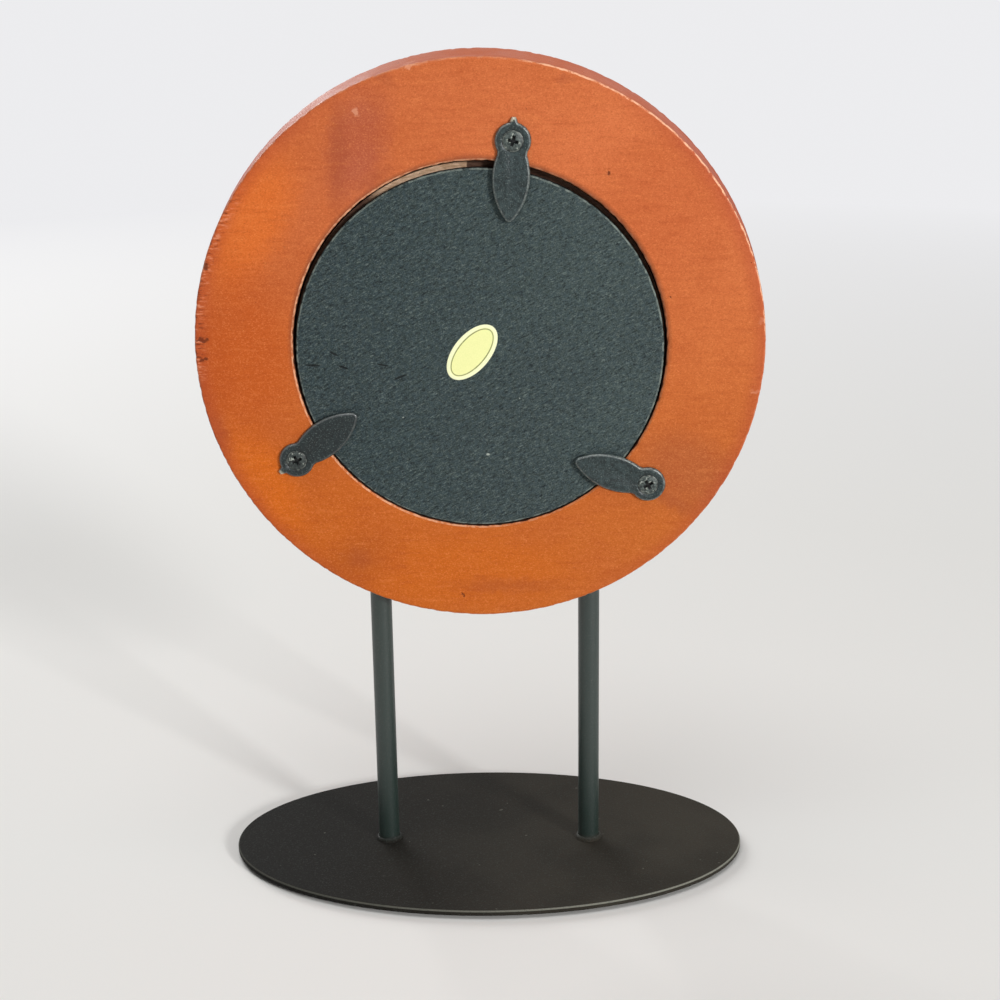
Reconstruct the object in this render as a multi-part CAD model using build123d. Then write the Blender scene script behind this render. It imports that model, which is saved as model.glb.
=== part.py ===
from build123d import *
import math
import os

# Round photo frame on two rods and an oval foot, in millimetres, +Z up. The picture faces -Y and the
# back faces +Y. The origin is the middle of the foot's underside. Left and right are as seen from the
# back, where the turn buttons are worked, so left is +X. A button's angle runs clockwise from the top,
# also as seen from the back.

# Wooden ring, turned from one piece. Its outside flares a little from the back to the picture side.
ring_diameter = 140.0  # at the back
front_flare = 1.1  # how much further out the front edge stands than the back edge
ring_thickness = 15.0
ring_height = 140.0  # from the table to the middle of the ring
face_width = 24.15  # flat back of the ring, from the rabbet to the outside
sight_lip = 3.85  # what the lip covers of the glass, all round
lip_thickness = 7.5  # wood in front of the glass
front_round = 1.6
sight_round = 3.0
back_round = 0.7
rabbet_chamfer = 0.45

# What lies in the rabbet, from the lip to the back. A play is how much smaller than the rabbet it is.
glass_play = 1.2
glass_thickness = 2.0
print_play = 1.2
print_thickness = 0.3
card_play = 0.6
card_thickness = 2.0
board_play = 1.2  # across
board_flattening = 0.7  # how much less the board measures in height than across
board_thickness = 2.5
board_chamfer = 0.3
rest_gap = 0.1  # between a round piece and the rabbet wall that it rests on

# Oval paper sticker on the board
sticker_length = 16.5
sticker_width = 9.0
sticker_thickness = 0.12
sticker_across = -1.9  # middle of the sticker from the middle of the ring
sticker_up = -1.0
sticker_tilt = 50.0

# Turn buttons: a round head, a neck and a leaf-shaped blade, cut from sheet
button_thickness = 1.0
button_lift = 0.1  # running gap under the button
head_diameter = 8.7
neck_width = 7.2
neck_reach = 3.4  # from the screw to where the blade starts to swell
blade_width = 9.0
blade_reach = 19.9  # from the screw to the blade's point, before its tip is rounded
belly_share = 0.467  # widest place of the blade, of its reach
tip_round = 1.2
waist_round = 1.2
button_edge_round = 0.35
tab_width = 2.0  # break-off tab at the end of the head
tab_tip_width = 1.0
tab_length = 1.2
top_screw_inset = 5.35  # from the rabbet's edge out to the screw
left_screw_inset = 8.05
right_screw_inset = 8.45
top_angle = 9.8
left_angle = 238.9
right_angle = 130.1
top_swing_angle = -6.3  # blade's angle from straight inwards
left_swing_angle = -6.0
right_swing_angle = -20.9

# Countersunk screws that the buttons turn on
screw_diameter = 3.0
screw_length = 9.5  # below the button
screw_point = 2.5
screw_head_diameter = 5.4
screw_head_dome = 0.45
dome_middle_share = 0.75  # rise of the dome halfway out, of its whole rise
screw_turn_gap = 0.06  # between screw and button
cross_length = 3.2
cross_width = 0.9
cross_depth = 0.9
pilot_gap = 0.05  # between a screw or a rod and its hole in the wood
pilot_room = 0.5  # empty bottom of a blind hole

# Rods
rod_diameter = 5.5
rod_spacing = 54.0
rod_grip = 14.0  # length inside the ring
rod_end_round = 0.5
weld_leg = 1.1
weld_bulge_share = 0.6  # how far the bead's face stands out, of its leg
weld_gap = 0.02

# Foot
plate_length = 136.0
plate_width = 78.0
plate_thickness = 1.6
plate_edge_round = 0.45
pad_inset = 4.0
pad_thickness = 0.8

cut_overrun = 1.0

ring_radius = ring_diameter / 2
front_radius = ring_radius + front_flare
rabbet_radius = ring_radius - face_width
sight_radius = rabbet_radius - sight_lip
ring_back = ring_thickness / 2
rabbet_floor = lip_thickness - ring_thickness / 2
glass_back = rabbet_floor + glass_thickness
print_back = glass_back + print_thickness
card_back = print_back + card_thickness
board_back = card_back + board_thickness
plate_top = pad_thickness + plate_thickness
rod_radius = rod_diameter / 2
middle_radius = (ring_radius + front_radius) / 2
ring_edge_at_rod = ring_height - math.sqrt(middle_radius**2 - (rod_spacing / 2) ** 2)
rod_top = ring_edge_at_rod + rod_grip

# The ring's own plane: x to the right as seen from the back, y up, z towards the back.
ring_plane = Plane(origin=(0, 0, ring_height), x_dir=(-1, 0, 0), z_dir=(0, 1, 0))


def nearest_vertex(sketch, x, y):
    return sketch.vertices().sort_by_distance((x, y, 0))[0]


def upright(radius, bottom, top, across):
    return Pos(across, 0, (bottom + top) / 2) * Cylinder(radius, top - bottom)


def screw_place(inset, angle):
    turn = math.radians(angle)
    radius = rabbet_radius + inset
    return Pos(radius * math.sin(turn), radius * math.cos(turn), ring_back + button_lift)


def wood_ring():
    """The turned section is revolved, then drilled for the rods and for the button screws."""
    section = make_face(
        Polyline(
            (sight_radius, -ring_back),
            (front_radius, -ring_back),
            (ring_radius, ring_back),
            (rabbet_radius, ring_back),
            (rabbet_radius, rabbet_floor),
            (sight_radius, rabbet_floor),
            close=True,
        )
    )
    section = fillet(nearest_vertex(section, sight_radius, -ring_back), sight_round)
    section = fillet(nearest_vertex(section, front_radius, -ring_back), front_round)
    section = fillet(nearest_vertex(section, ring_radius, ring_back), back_round)
    section = chamfer(nearest_vertex(section, rabbet_radius, ring_back), rabbet_chamfer)
    ring = ring_plane * revolve(Plane.XZ * section, Axis.Z)
    for side in (-1, 1):
        bottom = ring_height - front_radius - cut_overrun
        ring -= upright(rod_radius + pilot_gap, bottom, rod_top + pilot_room, side * rod_spacing / 2)
    for inset, angle, _ in buttons.values():
        ring -= ring_plane * screw_place(inset, angle) * pilot_hole()
    return ring


def pilot_hole():
    depth = screw_length + button_lift + pilot_room
    middle = cut_overrun / 2 - depth / 2
    return Pos(0, 0, middle) * Cylinder(screw_diameter / 2 + pilot_gap, depth + cut_overrun)


def round_layer(play, front, back):
    """A disc that lies in the rabbet, lowered until it rests on the rabbet's wall."""
    drop = play / 2 - rest_gap
    return Pos(0, -drop, (front + back) / 2) * Cylinder(rabbet_radius - play / 2, back - front)


def glass_pane():
    return ring_plane * round_layer(glass_play, rabbet_floor, glass_back)


def photo_print():
    return ring_plane * round_layer(print_play, glass_back, print_back)


def filler_card():
    return ring_plane * round_layer(card_play, print_back, card_back)


def backing_board():
    """The board is sawn slightly out of round, and rests on the rabbet's wall too."""
    half_width = rabbet_radius - board_play / 2
    half_height = half_width - board_flattening / 2
    board = extrude(Ellipse(half_width, half_height), board_thickness)
    board = chamfer(board.faces().sort_by(Axis.Z)[-1].edges(), board_chamfer)
    drop = rabbet_radius - rest_gap - half_height
    return ring_plane * Pos(0, -drop, card_back) * board


def oval_sticker():
    oval = extrude(Ellipse(sticker_length / 2, sticker_width / 2), sticker_thickness)
    return ring_plane * Pos(sticker_across, sticker_up, board_back) * Rot(0, 0, sticker_tilt) * oval


def button_outline(with_tab):
    """Head round the origin, blade along +X, break-off tab at -X."""
    half_neck = neck_width / 2
    belly = (blade_reach * belly_share, blade_width / 2)
    edge = Line((0, 0), (0, half_neck))
    edge += Line((0, half_neck), (neck_reach, half_neck))
    edge += ThreePointArc((neck_reach, half_neck), belly, (blade_reach, 0))
    edge += Line((blade_reach, 0), (0, 0))
    half_blade = make_face(edge)
    blade = half_blade + mirror(half_blade, Plane.XZ)
    blade = fillet(nearest_vertex(blade, blade_reach, 0), tip_round)
    head_radius = head_diameter / 2
    outline = blade + Circle(head_radius)
    waist = math.sqrt(head_radius**2 - half_neck**2)
    for side in (-1, 1):
        outline = fillet(nearest_vertex(outline, waist, side * half_neck), waist_round)
    if not with_tab:
        return outline
    tab_end = -head_radius - tab_length
    tab = Polygon(
        (0, -tab_width / 2),
        (0, tab_width / 2),
        (-head_radius, tab_width / 2),
        (tab_end, tab_tip_width / 2),
        (tab_end, -tab_tip_width / 2),
        (-head_radius, -tab_width / 2),
        align=None,
    )
    return outline + tab


def turn_button(with_tab):
    """The underside lies at z = 0. The countersunk hole clears the screw that it turns on."""
    button = extrude(button_outline(with_tab), button_thickness)
    button = fillet(button.faces().sort_by(Axis.Z)[-1].outer_wire().edges(), button_edge_round)
    narrow = screw_diameter / 2 + screw_turn_gap
    wide = screw_head_diameter / 2 + screw_turn_gap
    return button - Pos(0, 0, button_thickness / 2) * Cone(narrow, wide, button_thickness)


def placed_button(inset, angle, swing, with_tab):
    heading = 90 - (angle + 180 + swing)
    return ring_plane * screw_place(inset, angle) * Rot(0, 0, heading) * turn_button(with_tab)


def button_screw():
    """Countersunk screw with a low domed head and a cross recess, its underside level with z = 0."""
    shank = screw_diameter / 2
    head = screw_head_diameter / 2
    crown = button_thickness + screw_head_dome
    halfway = (head / 2, button_thickness + screw_head_dome * dome_middle_share)
    edge = Line((0, -screw_length), (shank, screw_point - screw_length))
    edge += Line((shank, screw_point - screw_length), (shank, 0))
    edge += Line((shank, 0), (head, button_thickness))
    edge += ThreePointArc((head, button_thickness), halfway, (0, crown))
    edge += Line((0, crown), (0, -screw_length))
    screw = revolve(Plane.XZ * make_face(edge), Axis.Z)
    for turn in (0, 90):
        slot = Box(cross_length, cross_width, cross_depth + cut_overrun)
        screw -= Pos(0, 0, crown - cross_depth / 2 + cut_overrun / 2) * Rot(0, 0, turn) * slot
    return screw


def placed_screw(inset, angle, swing):
    heading = 90 - angle + swing
    return ring_plane * screw_place(inset, angle) * Rot(0, 0, heading) * button_screw()


def support_rod(side):
    """The rod stands on the plate and ends in the blind hole in the ring's lower edge."""
    rod = upright(rod_radius, plate_top, rod_top, side * rod_spacing / 2)
    return chamfer(rod.faces().sort_by(Axis.Z)[-1].edges(), rod_end_round)


def weld_bead(side):
    inner = rod_radius + weld_gap
    outer = rod_radius + weld_leg
    bulge = (inner + (weld_leg - weld_gap) * weld_bulge_share, weld_leg * weld_bulge_share)
    edge = Line((inner, 0), (outer, 0))
    edge += ThreePointArc((outer, 0), bulge, (inner, weld_leg))
    edge += Line((inner, weld_leg), (inner, 0))
    bead = revolve(Plane.XZ * make_face(edge), Axis.Z)
    return Pos(side * rod_spacing / 2, 0, plate_top) * bead


def base_plate():
    plate = extrude(Ellipse(plate_length / 2, plate_width / 2), plate_thickness)
    rims = plate.faces().sort_by(Axis.Z)[-1].edges() + plate.faces().sort_by(Axis.Z)[0].edges()
    return Pos(0, 0, pad_thickness) * fillet(rims, plate_edge_round)


def felt_pad():
    return extrude(Ellipse(plate_length / 2 - pad_inset, plate_width / 2 - pad_inset), pad_thickness)


buttons = {
    "top": (top_screw_inset, top_angle, top_swing_angle),
    "left": (left_screw_inset, left_angle, left_swing_angle),
    "right": (right_screw_inset, right_angle, right_swing_angle),
}
tab_broken_off = ("right",)
rods = {"left": 1, "right": -1}

pieces = {
    "wood_ring": wood_ring(),
    "glass_pane": glass_pane(),
    "photo_print": photo_print(),
    "filler_card": filler_card(),
    "backing_board": backing_board(),
    "oval_sticker": oval_sticker(),
    "base_plate": base_plate(),
    "felt_pad": felt_pad(),
}
for place, values in buttons.items():
    pieces[f"turn_button_{place}"] = placed_button(*values, place not in tab_broken_off)
    pieces[f"button_screw_{place}"] = placed_screw(*values)
for place, side in rods.items():
    pieces[f"rod_{place}"] = support_rod(side)
    pieces[f"rod_weld_{place}"] = weld_bead(side)

os.makedirs("parts", exist_ok=True)
for name, piece in pieces.items():
    export_step(piece, f"parts/{name}.step")
    print(name, round(piece.volume, 2))
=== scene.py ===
import math

import bmesh
import bpy
from mathutils import Matrix, Vector


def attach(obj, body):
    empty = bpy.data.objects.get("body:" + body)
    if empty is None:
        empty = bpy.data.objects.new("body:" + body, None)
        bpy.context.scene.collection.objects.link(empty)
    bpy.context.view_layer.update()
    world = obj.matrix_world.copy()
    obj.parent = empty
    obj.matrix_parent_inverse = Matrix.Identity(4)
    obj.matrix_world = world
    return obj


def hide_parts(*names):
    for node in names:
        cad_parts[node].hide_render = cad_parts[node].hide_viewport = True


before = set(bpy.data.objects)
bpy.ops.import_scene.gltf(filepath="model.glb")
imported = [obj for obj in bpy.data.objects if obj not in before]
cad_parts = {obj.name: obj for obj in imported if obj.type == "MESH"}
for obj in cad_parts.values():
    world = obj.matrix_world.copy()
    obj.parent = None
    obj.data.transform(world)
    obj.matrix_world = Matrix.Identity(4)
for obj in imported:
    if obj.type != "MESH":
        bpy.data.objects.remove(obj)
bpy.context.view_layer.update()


# The frame is looked at from its back, about 45 cm away and from a little above its top edge. The
# camera has a moderately long lens and leans down about 18 degrees.

looks_down = math.radians(18.126)
looks_aside = math.radians(-1.002)
leans = math.radians(0.823)
camera_place = (-0.01226, 0.454443, 0.24733)
film_width, lens_length = 36, 67.33
forward = Vector((
    -math.sin(looks_aside) * math.cos(looks_down),
    -math.cos(looks_aside) * math.cos(looks_down),
    -math.sin(looks_down),
))
level = Vector((-math.cos(looks_aside), math.sin(looks_aside), 0))
under = forward.cross(level)
rightward = level * math.cos(leans) + under * math.sin(leans)
upward = level * math.sin(leans) - under * math.cos(leans)

camera = bpy.data.objects.new("camera", bpy.data.cameras.new("camera"))
bpy.context.scene.collection.objects.link(camera)
bpy.context.scene.camera = camera
camera.data.sensor_width, camera.data.lens = film_width, lens_length
camera.matrix_world = (
    Matrix.Translation(camera_place)
    @ Matrix((rightward, upward, -forward)).transposed().to_4x4()
)


# It stands on a plain pale table. One soft lamp shines on its back from the right, one lights the
# picture side and one hangs over the table. Even light comes from all round.

bpy.context.scene.view_settings.view_transform = "Standard"
lamps_aim = Vector((0, 0, 0.12))
even_strength = 0.17
backdrop_light = {"Color": (0.98, 0.98, 1, 1), "Strength": 0.86}
table_radius, table_drop = 12, 0.0001
table_fades, table_gone = 0.3, 1.1


def put(tree, kind, sockets=None, **settings):
    """Puts a node in a tree. Its sockets are set to values, or joined to given sockets."""
    node = tree.nodes.new(kind)
    for name, value in settings.items():
        setattr(node, name, value)
    for name, value in (sockets or {}).items():
        if isinstance(value, bpy.types.NodeSocket):
            tree.links.new(value, node.inputs[name])
        else:
            node.inputs[name].default_value = value
    return node


def maths(tree, operation, *values):
    return put(tree, "ShaderNodeMath", dict(enumerate(values)), operation=operation).outputs[0]


def lamp(name, toward, distance, width, brightness):
    """A square soft lamp. Its brightness is what a surface turned to it gets, 1 being full."""
    light = bpy.data.lights.new(name, "AREA")
    light.size = width
    light.energy = (math.pi * distance) ** 2 * brightness
    holder = bpy.data.objects.new(name, light)
    bpy.context.scene.collection.objects.link(holder)
    holder.location = lamps_aim + Vector(toward).normalized() * distance
    holder.rotation_euler = Vector(toward).to_track_quat("Z", "Y").to_euler()


lamp("back_lamp", (-0.62, 0.74, 0.27), distance=2.4, width=0.36, brightness=0.68)
lamp("picture_lamp", (0.5, -0.8, 0.45), distance=1.6, width=0.8, brightness=0.5)
lamp("table_lamp", (0.1, 0.2, 1.0), distance=1.6, width=1.1, brightness=0.42)

even_light = bpy.data.worlds.new("even_light")
bpy.context.scene.world = even_light
even_light.use_nodes = True
tree = even_light.node_tree
tree.nodes.clear()
lighting = put(tree, "ShaderNodeBackground", {"Color": (1, 1, 1, 1), "Strength": even_strength})
backdrop = put(tree, "ShaderNodeBackground", backdrop_light)
ray = put(tree, "ShaderNodeLightPath").outputs
shown = maths(tree, "MAXIMUM", ray["Is Camera Ray"], ray["Is Glossy Ray"])
shown = maths(tree, "MAXIMUM", shown, ray["Is Transmission Ray"])
both = put(tree, "ShaderNodeMixShader", {0: shown, 1: lighting.outputs[0], 2: backdrop.outputs[0]})
put(tree, "ShaderNodeOutputWorld", {"Surface": both.outputs[0]})


def paint(red, green, blue):
    """A colour as a shader wants it, from its three values on a screen."""
    shares = [v / 255 for v in (red, green, blue)]
    return tuple(v / 12.92 if v < 0.04 else ((v + 0.055) / 1.055) ** 2.4 for v in shares) + (1.0,)


def new_finish(name):
    """A new material, its tree and its one shader."""
    material = bpy.data.materials.new(name)
    material.use_nodes = True
    return material, material.node_tree, material.node_tree.nodes["Principled BSDF"]


def coat(tree, shader, **sockets):
    """Sets the shader's own sockets, or joins them to the patterns given for them."""
    for name, value in sockets.items():
        socket = shader.inputs[name.replace("_", " ")]
        if isinstance(value, bpy.types.NodeSocket):
            tree.links.new(value, socket)
        else:
            socket.default_value = value


def how_far(tree, reach):
    """The length of a vector."""
    return put(tree, "ShaderNodeVectorMath", {0: reach}, operation="LENGTH").outputs["Value"]


table_finish, tree, shader = new_finish("pale_table_finish")
coat(tree, shader, Base_Color=paint(236, 235, 232), Roughness=0.8, Specular_IOR_Level=0.1)
far = how_far(tree, put(tree, "ShaderNodeTexCoord").outputs["Object"])
sockets = {"Value": far, "From Min": table_fades, "From Max": table_gone}
far = put(tree, "ShaderNodeMapRange", sockets).outputs["Result"]
far = maths(tree, "MULTIPLY", far, put(tree, "ShaderNodeLightPath").outputs["Is Camera Ray"])
pale = put(tree, "ShaderNodeEmission", backdrop_light)
surface = put(tree, "ShaderNodeMixShader", {0: far, 1: shader.outputs[0], 2: pale.outputs[0]})
tree.links.new(surface.outputs[0], tree.nodes["Material Output"].inputs["Surface"])

table_top = bpy.data.meshes.new("table_top")
disc = bmesh.new()
bmesh.ops.create_circle(disc, cap_ends=True, segments=128, radius=table_radius)
disc.to_mesh(table_top)
disc.free()
table_top.transform(Matrix.Translation((0, 0, -table_drop)))
table_top.materials.append(table_finish)
table = bpy.data.objects.new("table", table_top)
bpy.context.scene.collection.objects.link(table)


# The ring is one piece of pale hardwood with level grain. It is turned on a lathe, flat at the back
# and rounded in front, with a rabbet for the glass, then stained orange-brown and thinly lacquered.

ring_middle = (0.0, 0.0, 140.0)
back_radius, front_radius, half_thickness = 70.0, 71.1, 7.5
rabbet_radius, sight_radius, rabbet_floor = 45.85, 42.0, 0.0
rabbet_chamfer, back_round, front_round, sight_round = 0.45, 0.7, 1.6, 3.0
crisp_round, broken_round = 0.05, 0.12
rod_hole_radius, rod_hole_top, rod_spread = 2.8, 89.3, 54.0
pilot_hole_radius, pilot_hole_end = 1.55, -2.5
pilot_drill_length, rod_drill_length = 30, 60
screw_places = {"top": (8.715, 50.453), "left": (-46.153, -27.841), "right": (41.535, -34.976)}
facing_back = (math.radians(-90), math.radians(180), 0.0)


def rounded(corners, closed=True):
    """The points of an outline, clockwise, from its corners as (across, up, rounding). Each point
    comes with how near it is to an outer edge, from 0 to 1."""
    longest, bend_step = 1.2, math.radians(11)
    bends = []
    for i, (across, up, rounding) in enumerate(corners):
        here = Vector((across, up))
        before = (Vector(corners[i - 1][:2]) - here).normalized()
        after = (Vector(corners[(i + 1) % len(corners)][:2]) - here).normalized()
        outer = float(before.x * after.y > before.y * after.x)
        if not rounding:
            bends.append([(here, outer)])
            continue
        opening = before.angle(after)
        hub = here + (before + after).normalized() * rounding / math.sin(opening / 2)
        reach = rounding / math.tan(opening / 2)
        first, last = (here + before * reach - hub, here + after * reach - hub)
        count = max(3, round((math.pi - opening) / bend_step))
        spokes = [first.lerp(last, k / count).normalized() for k in range(count + 1)]
        bends.append([(hub + spoke * rounding, outer) for spoke in spokes])
    points = []
    for bend, following in zip(bends, bends[1:] + bends[:1]):
        (start, start_edge), (end, end_edge) = bend[-1], following[0]
        length = (end - start).length
        count = math.ceil(length / longest)
        points += bend
        for k in range(1, count):
            near = max(start_edge - k / count * length, end_edge - (1 - k / count) * length, 0)
            points.append((start.lerp(end, k / count), near))
    return points + points[:1] if closed else points[:points.index(bends[-1][-1]) + 1]


def turned_blank(name, points):
    """A lathe section as a row of points, marked with how near an outer edge each one is."""
    mesh = bpy.data.meshes.new(name)
    mesh.from_pydata([(p.x, 0, p.y) for p, _ in points], [], [])
    mesh.attributes.new("edge", "FLOAT", "POINT").data.foreach_set("value", [e for _, e in points])
    return mesh


def new_shape(name, **sizes):
    """An empty shape tree with its named inputs, and the sockets that give their values."""
    tree = bpy.data.node_groups.new(name, "GeometryNodeTree")
    tree.interface.new_socket("Geometry", in_out="INPUT", socket_type="NodeSocketGeometry")
    kinds = {int: "Int", float: "Float", tuple: "Vector", str: "Material"}
    for label, value in sizes.items():
        label, kind = label.replace("_", " "), "NodeSocket" + kinds[type(value)]
        socket = tree.interface.new_socket(label, in_out="INPUT", socket_type=kind)
        if value:
            socket.default_value = value
    tree.interface.new_socket("Geometry", in_out="OUTPUT", socket_type="NodeSocketGeometry")
    return tree, tree.nodes.new("NodeGroupInput").outputs


def vector(tree, x=0.0, y=0.0, z=0.0):
    return put(tree, "ShaderNodeCombineXYZ", {0: x, 1: y, 2: z}).outputs[0]


def vectors(tree, operation, *values):
    sockets = dict(enumerate(values))
    return put(tree, "ShaderNodeVectorMath", sockets, operation=operation).outputs[0]


def axes(tree, where):
    return put(tree, "ShaderNodeSeparateXYZ", {0: where}).outputs


def scaled(tree, direction, amount):
    sockets = {0: direction, "Scale": amount}
    return put(tree, "ShaderNodeVectorMath", sockets, operation="SCALE").outputs[0]


def grain(tree, where, per_mm, detail=2.0, roughness=0.5):
    """A random pattern from 0 to 1 with that many grains to the millimetre."""
    sockets = {"Vector": where, "Scale": per_mm, "Detail": detail, "Roughness": roughness}
    return put(tree, "ShaderNodeTexNoise", sockets).outputs[0]


def fade(tree, value, start, end, low=0.0, high=1.0):
    """Goes smoothly from low to high while the value goes from start to end."""
    sockets = {"Value": value, "From Min": start, "From Max": end, "To Min": low, "To Max": high}
    return put(tree, "ShaderNodeMapRange", sockets, interpolation_type="SMOOTHSTEP").outputs[0]


def product(tree, *shares):
    total = shares[0]
    for share in shares[1:]:
        total = maths(tree, "MULTIPLY", total, share)
    return total


def moved(tree, shape, by=(0.0, 0.0, 0.0), turn=(0.0, 0.0, 0.0), scale=(1.0, 1.0, 1.0)):
    """A shape scaled, turned and set at a place."""
    if isinstance(turn, bpy.types.NodeSocket):
        turn = put(tree, "FunctionNodeEulerToRotation", {0: turn}).outputs[0]
    sockets = {"Geometry": shape, "Translation": by, "Rotation": turn, "Scale": scale}
    return put(tree, "GeometryNodeTransform", sockets).outputs[0]


def cut(tree, shape, *cutters):
    kind = {"operation": "DIFFERENCE", "solver": "MANIFOLD"}
    remains = put(tree, "GeometryNodeMeshBoolean", {0: shape}, **kind)
    for cutter in cutters:
        tree.links.new(cutter, remains.inputs[1])
    return remains.outputs[0]


def finished(tree, shape, finish):
    """The end of a shape tree: millimetres become metres, copies real, and the finish goes on."""
    metres = moved(tree, shape, scale=(0.001,) * 3)
    real = put(tree, "GeometryNodeRealizeInstances", {"Geometry": metres}).outputs[0]
    coated = put(tree, "GeometryNodeSetMaterial", {"Geometry": real, "Material": finish})
    put(tree, "NodeGroupOutput", {0: coated.outputs[0]})


lathe_sizes = {"Steps": 96, "Wear": 0.0, "Chip_Size": 1.0, "Uneven": 0.0, "Wave_Size": 9.0}
lathe, given = new_shape("lathe", **lathe_sizes)
sockets = {"Geometry": given["Geometry"]}
count = put(lathe, "GeometryNodeAttributeDomainSize", sockets).outputs["Point Count"]
last = maths(lathe, "SUBTRACT", count, 1)
cloth = put(lathe, "GeometryNodeMeshGrid", {
    "Size X": last, "Size Y": given["Steps"],
    "Vertices X": count, "Vertices Y": maths(lathe, "ADD", given["Steps"], 1),
}).outputs[0]
place = put(lathe, "GeometryNodeInputPosition").outputs[0]
along, around, _ = axes(lathe, place)
row = maths(lathe, "ROUND", maths(lathe, "ADD", along, maths(lathe, "DIVIDE", last, 2)))
angle = product(lathe, maths(lathe, "DIVIDE", around, given["Steps"]), math.tau)
edge = put(lathe, "GeometryNodeInputNamedAttribute", {"Name": "edge"}, data_type="FLOAT").outputs[0]
sockets = {"Geometry": given["Geometry"], "Value": edge, "Index": row}
near_edge = put(lathe, "GeometryNodeSampleIndex", sockets, data_type="FLOAT").outputs[0]
sockets = {"Geometry": cloth, "Name": "edge", "Value": near_edge}
cloth = put(lathe, "GeometryNodeStoreNamedAttribute", sockets, data_type="FLOAT").outputs[0]
sockets = {"Geometry": given["Geometry"], "Value": place, "Index": row}
sampled = put(lathe, "GeometryNodeSampleIndex", sockets, data_type="FLOAT_VECTOR").outputs[0]
out, _, height = axes(lathe, sampled)
spoke = vector(lathe, maths(lathe, "COSINE", angle), maths(lathe, "SINE", angle))
turned = vectors(lathe, "ADD", scaled(lathe, spoke, out), vector(lathe, z=height))
shell = put(lathe, "GeometryNodeSetPosition", {"Geometry": cloth, "Position": turned}).outputs[0]
sockets = {"Geometry": shell, "Distance": 0.0005}
shell = put(lathe, "GeometryNodeMergeByDistance", sockets).outputs[0]
chip_place = vectors(lathe, "DIVIDE", place, vector(lathe, *[given["Chip Size"]] * 3))
chips = fade(lathe, grain(lathe, chip_place, 1.0), 0.4, 0.72)
chips = product(lathe, chips, product(lathe, edge, given["Wear"]))
wave_place = vectors(lathe, "DIVIDE", place, vector(lathe, *[given["Wave Size"]] * 3))
waves = product(lathe, grain(lathe, wave_place, 1.0, 3.0), given["Uneven"])
inwards = product(lathe, maths(lathe, "ADD", chips, waves), -1)
inwards = scaled(lathe, put(lathe, "GeometryNodeInputNormal").outputs[0], inwards)
shell = put(lathe, "GeometryNodeSetPosition", {"Geometry": shell, "Offset": inwards}).outputs[0]
put(lathe, "NodeGroupOutput", {0: shell})


def on_lathe(tree, given):
    """Turns the section given to a shape tree, by the lathe settings among the tree's inputs."""
    work = put(tree, "GeometryNodeGroup", node_tree=lathe)
    for socket in work.inputs:
        tree.links.new(given[socket.name], socket)
    return work.outputs[0]


def made(tree, name, start, body, slot, node, **sizes):
    """Runs a start shape through a shape tree, and keeps the plain mesh as a piece."""
    piece = bpy.data.objects.new(name, start)
    bpy.context.scene.collection.objects.link(piece)
    shaping = piece.modifiers.new("shaping", "NODES")
    shaping.node_group = tree
    for socket in tree.interface.items_tree:
        label = socket.name.replace(" ", "_")
        if socket.in_out == "INPUT" and label in sizes:
            shaping[socket.identifier] = sizes[label]
    ready = bpy.context.evaluated_depsgraph_get()
    kept = {"preserve_all_data_layers": True, "depsgraph": ready}
    mesh = bpy.data.meshes.new_from_object(piece.evaluated_get(ready), **kept)
    piece.modifiers.remove(shaping)
    piece.data = mesh
    return joined(piece, body, node)


def joined(piece, body, node):
    """Closes a piece's mesh, turns its faces outwards, and ties it to the body it moves with."""
    shape = bmesh.new()
    shape.from_mesh(piece.data)
    bmesh.ops.remove_doubles(shape, verts=shape.verts, dist=1e-7)
    bmesh.ops.recalc_face_normals(shape, faces=shape.faces)
    shape.to_mesh(piece.data)
    shape.free()
    piece.data.shade_smooth()
    piece.data.set_sharp_from_angle(angle=math.radians(40))
    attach(piece, body)
    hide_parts(node)
    return piece


def blend(tree, share, first, second):
    """One colour that goes over into another as the share rises from 0 to 1."""
    sockets = {0: share, 6: first, 7: second}
    return put(tree, "ShaderNodeMix", sockets, data_type="RGBA").outputs[2]


def millimetres(tree, middle=(0.0, 0.0, 140.0), stretch=(1.0, 1.0, 1.0), turn=(0.0, 0.0, 0.0)):
    """Places on the object in millimetres from a middle, turned and then stretched."""
    where = put(tree, "ShaderNodeTexCoord").outputs["Object"]
    sockets = {"Vector": where, "Location": tuple(v / 1000 for v in middle), "Rotation": turn}
    sockets["Scale"] = tuple(s / 1000 for s in stretch)
    return put(tree, "ShaderNodeMapping", sockets, vector_type="TEXTURE").outputs[0]


def patch(tree, where, across, up, length, width, tilt=0.0, deep=(half_thickness, 9.0)):
    """A soft oval mark on the back, 1 in its middle and 0 outside. Its tilt rises towards +X."""
    sockets = {
        "Vector": where, "Location": (across, deep[0], up), "Rotation": (0, math.radians(-tilt), 0),
        "Scale": (length, deep[1], width),
    }
    oval = put(tree, "ShaderNodeMapping", sockets, vector_type="TEXTURE").outputs[0]
    return put(tree, "ShaderNodeTexGradient", {0: oval}, gradient_type="SPHERICAL").outputs[1]


def marks(tree, where, *places, deep=(half_thickness, 9.0)):
    """Several soft oval marks in one, each given as across, up, length, width and tilt."""
    together = 0.0
    for place in places:
        together = maths(tree, "MAXIMUM", together, patch(tree, where, *place, deep=deep))
    return together


def distance_out(tree, where):
    """How far a place is from the ring's axis, in millimetres."""
    return how_far(tree, vectors(tree, "MULTIPLY", where, (1, 0, 1)))


def tinted(tree, colour, *tints):
    """A colour tinted in turns. Each tint is a pattern, its start and end, its share and a tone."""
    for pattern, start, end, share, tone in tints:
        colour = blend(tree, fade(tree, pattern, start, end, 0, share), colour, paint(*tone))
    return colour


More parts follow.
